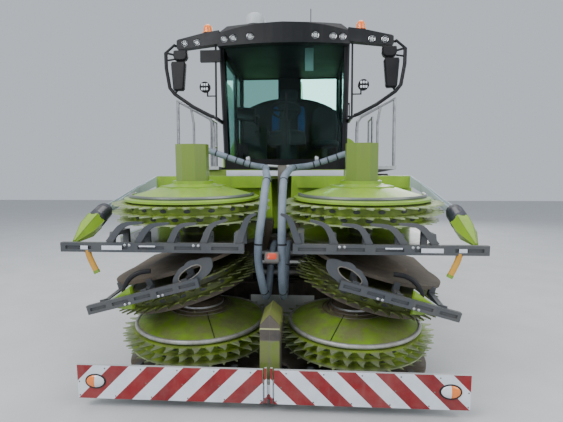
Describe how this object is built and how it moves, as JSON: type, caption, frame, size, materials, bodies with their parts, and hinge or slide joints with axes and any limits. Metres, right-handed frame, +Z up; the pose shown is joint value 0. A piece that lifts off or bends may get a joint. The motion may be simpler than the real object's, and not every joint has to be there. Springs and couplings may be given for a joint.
{
  "type": "self-propelled forage harvester with a folding maize header",
  "caption": "Self-propelled forage harvester with a folding rotary maize header in its road position, cab, rear hood and a swivelling discharge spout.",
  "frame": {"origin": "ground level under the middle of the machine's length and width", "axes": "+Z up; +Y towards the rear, the machine drives towards -Y; +X is the machine's left side"},
  "size_m": [3.3374, 8.224, 4.23],
  "materials": {
    "green_paint": "gloss, light dust",
    "green_dirty": "satin, dusty",
    "frame_grey": "satin",
    "engine_grey": "matt",
    "black_plastic": "satin",
    "worn_steel": "worn, dusty",
    "galvanised": "satin",
    "roof_black": "satin",
    "tinted_glass": "gloss, lightly tinted",
    "interior": "matt",
    "lamp_lens": "gloss",
    "beacon_orange": "gloss, translucent",
    "light_grey_plastic": "matt",
    "dull_steel": "dull",
    "dark_slate": "satin, dusty",
    "hose_grey": "matt",
    "board_white": "retroreflective film, dusty",
    "chrome_rod": "polished",
    "tyre_rubber": "matt, dusty",
    "rim_red": "gloss, dusty",
    "rotor_steel": "worn bright edges"
  },
  "bodies": {
    "chassis": {"chassis_frame": "green_paint", "front_axle": "frame_grey", "rear_axle": "frame_grey", "engine_block": "engine_grey", "body_panels": "green_paint", "engine_hood": "green_paint", "air_grilles": "black_plastic", "cab_platforms": "worn_steel", "rails_and_ladder": "galvanised", "cab_shell": "black_plastic", "cab_roof": "roof_black", "cab_glass": "tinted_glass", "cab_interior": "interior", "lamps": "lamp_lens", "beacons": "beacon_orange", "mirrors": "black_plastic", "roof_receiver": "light_grey_plastic", "exhaust_pipe": "dull_steel"},
    "door": {"cab_door": "black_plastic", "door_glass": "tinted_glass"},
    "spout_turret": {"spout_turret": "green_paint"},
    "spout_boom": {"spout_boom": "green_paint"},
    "spout_flap": {"spout_flap": "green_paint"},
    "header": {"intake_housing": "green_paint", "header_frame": "worn_steel", "centre_covers": "green_dirty", "centre_guard": "dark_slate", "hose_carrier": "worn_steel", "hose_left": "hose_grey", "hose_right": "hose_grey", "warning_boards": "board_white"},
    "feed_roller_upper": {"feed_roller_upper": "dull_steel"},
    "feed_roller_lower": {"feed_roller_lower": "dull_steel"},
    "lift_barrels": {"lift_barrels": "frame_grey"},
    "lift_rods": {"lift_rods": "chrome_rod"},
    "wheel_front_left": {"tyre_front_left": "tyre_rubber", "rim_front_left": "rim_red"},
    "wheel_rear_left": {"tyre_rear_left": "tyre_rubber", "rim_rear_left": "rim_red"},
    "knuckle_left": {"knuckle_left": "frame_grey"},
    "wheel_front_right": {"tyre_front_right": "tyre_rubber", "rim_front_right": "rim_red"},
    "wheel_rear_right": {"tyre_rear_right": "tyre_rubber", "rim_rear_right": "rim_red"},
    "knuckle_right": {"knuckle_right": "frame_grey"},
    "centre_rotor_left": {"centre_rotor_left": "rotor_steel"},
    "mid_section_left": {"mid_section_left": "worn_steel", "mid_guard_left": "dark_slate"},
    "mid_rotor_left": {"mid_rotor_left": "rotor_steel"},
    "outer_section_left": {"outer_section_left": "green_paint", "outer_guard_left": "dark_slate"},
    "outer_rotor_left": {"outer_rotor_left": "rotor_steel"},
    "centre_rotor_right": {"centre_rotor_right": "rotor_steel"},
    "mid_section_right": {"mid_section_right": "worn_steel", "mid_guard_right": "dark_slate"},
    "mid_rotor_right": {"mid_rotor_right": "rotor_steel"},
    "outer_section_right": {"outer_section_right": "green_paint", "outer_guard_right": "dark_slate"},
    "outer_rotor_right": {"outer_rotor_right": "rotor_steel"}
  },
  "joints": [
    {"name": "wheel_front_left_roll", "type": "hinge", "parent": "chassis", "child": "wheel_front_left", "pos_m": [1.15, -1.05, 0.99], "axis": [1, 0, 0], "continuous": true},
    {"name": "wheel_rear_left_roll", "type": "hinge", "parent": "knuckle_left", "child": "wheel_rear_left", "pos_m": [1.15, 2.1, 0.72], "axis": [1, 0, 0], "continuous": true},
    {"name": "steer_left", "type": "hinge", "parent": "chassis", "child": "knuckle_left", "pos_m": [0.82, 2.1, 0.72], "axis": [0, 0, 1], "range_deg": [-40, 40]},
    {"name": "wheel_front_right_roll", "type": "hinge", "parent": "chassis", "child": "wheel_front_right", "pos_m": [-1.15, -1.05, 0.99], "axis": [1, 0, 0], "continuous": true},
    {"name": "wheel_rear_right_roll", "type": "hinge", "parent": "knuckle_right", "child": "wheel_rear_right", "pos_m": [-1.15, 2.1, 0.72], "axis": [1, 0, 0], "continuous": true},
    {"name": "steer_right", "type": "hinge", "parent": "chassis", "child": "knuckle_right", "pos_m": [-0.82, 2.1, 0.72], "axis": [0, 0, 1], "range_deg": [-40, 40]},
    {"name": "door_hinge", "type": "hinge", "parent": "chassis", "child": "door", "pos_m": [0.83, -0.97, 2.7], "axis": [0, 0, 1], "range_deg": [0, 70]},
    {"name": "spout_slew", "type": "hinge", "parent": "chassis", "child": "spout_turret", "pos_m": [0, 0.03, 2.56], "axis": [0, 0, 1], "range_deg": [-100, 100]},
    {"name": "spout_lift", "type": "hinge", "parent": "spout_turret", "child": "spout_boom", "pos_m": [0, 0.07, 3], "axis": [1, 0, 0], "range_deg": [0, 30]},
    {"name": "spout_flap_tilt", "type": "hinge", "parent": "spout_boom", "child": "spout_flap", "pos_m": [0, 3.51102, 3.26412], "axis": [-1, 0, 0], "range_deg": [0, 60]},
    {"name": "header_lift", "type": "hinge", "parent": "chassis", "child": "header", "pos_m": [0, -1.47, 0.9], "axis": [-1, 0, 0], "range_deg": [0, 15]},
    {"name": "feed_roller_upper_spin", "type": "hinge", "parent": "header", "child": "feed_roller_upper", "pos_m": [0, -2.1, 0.99], "axis": [1, 0, 0], "continuous": true},
    {"name": "feed_roller_lower_spin", "type": "hinge", "parent": "header", "child": "feed_roller_lower", "pos_m": [0, -2.1, 0.735], "axis": [1, 0, 0], "continuous": true},
    {"name": "lift_barrel_swing", "type": "hinge", "parent": "chassis", "child": "lift_barrels", "pos_m": [0, -1.3, 0.5], "axis": [-1, 0, 0], "range_deg": [-2, 14]},
    {"name": "lift_rod_slide", "type": "slide", "parent": "lift_barrels", "child": "lift_rods", "axis": [0, -0.9912, 0.1322], "range_m": [0, 0.11]},
    {"name": "centre_rotor_left_spin", "type": "hinge", "parent": "header", "child": "centre_rotor_left", "pos_m": [0.75, -3.20779, 0.30037], "axis": [0, -0.061, 0.9981], "continuous": true},
    {"name": "inner_fold_left", "type": "hinge", "parent": "header", "child": "mid_section_left", "pos_m": [1.53, -2.43269, 0.56819], "axis": [0, 0.9981, 0.061], "range_deg": [0, 165]},
    {"name": "mid_rotor_left_spin", "type": "hinge", "parent": "mid_section_left", "child": "mid_rotor_left", "pos_m": [0.88181, -3.24573, 0.92066], "axis": [0.2588, -0.059, 0.9641], "continuous": true},
    {"name": "outer_fold_left", "type": "hinge", "parent": "mid_section_left", "child": "outer_section_left", "pos_m": [0.13886, -2.48111, 1.35979], "axis": [0, -0.9981, -0.061], "range_deg": [0, 165]},
    {"name": "outer_rotor_left_spin", "type": "hinge", "parent": "outer_section_left", "child": "outer_rotor_left", "pos_m": [0.79986, -3.28099, 1.49721], "axis": [0, -0.061, 0.9981], "continuous": true},
    {"name": "centre_rotor_right_spin", "type": "hinge", "parent": "header", "child": "centre_rotor_right", "pos_m": [-0.75, -3.20779, 0.30037], "axis": [0, -0.061, 0.9981], "continuous": true},
    {"name": "inner_fold_right", "type": "hinge", "parent": "header", "child": "mid_section_right", "pos_m": [-1.53, -2.43269, 0.56819], "axis": [0, -0.9981, -0.061], "range_deg": [0, 165]},
    {"name": "mid_rotor_right_spin", "type": "hinge", "parent": "mid_section_right", "child": "mid_rotor_right", "pos_m": [-0.88181, -3.24573, 0.92066], "axis": [-0.2588, -0.059, 0.9641], "continuous": true},
    {"name": "outer_fold_right", "type": "hinge", "parent": "mid_section_right", "child": "outer_section_right", "pos_m": [-0.13886, -2.48111, 1.35979], "axis": [0, 0.9981, 0.061], "range_deg": [0, 165]},
    {"name": "outer_rotor_right_spin", "type": "hinge", "parent": "outer_section_right", "child": "outer_rotor_right", "pos_m": [-0.79986, -3.28099, 1.49721], "axis": [0, -0.061, 0.9981], "continuous": true}
  ],
  "couplings": [
    {"joint": "steer_right", "follows": "steer_left", "ratio": 1},
    {"joint": "lift_barrel_swing", "follows": "header_lift", "ratio": 0.7375},
    {"joint": "lift_rod_slide", "follows": "header_lift", "m_per_rad": 0.3564},
    {"joint": "outer_fold_left", "follows": "inner_fold_left", "ratio": 1},
    {"joint": "outer_fold_right", "follows": "inner_fold_right", "ratio": 1}
  ]
}
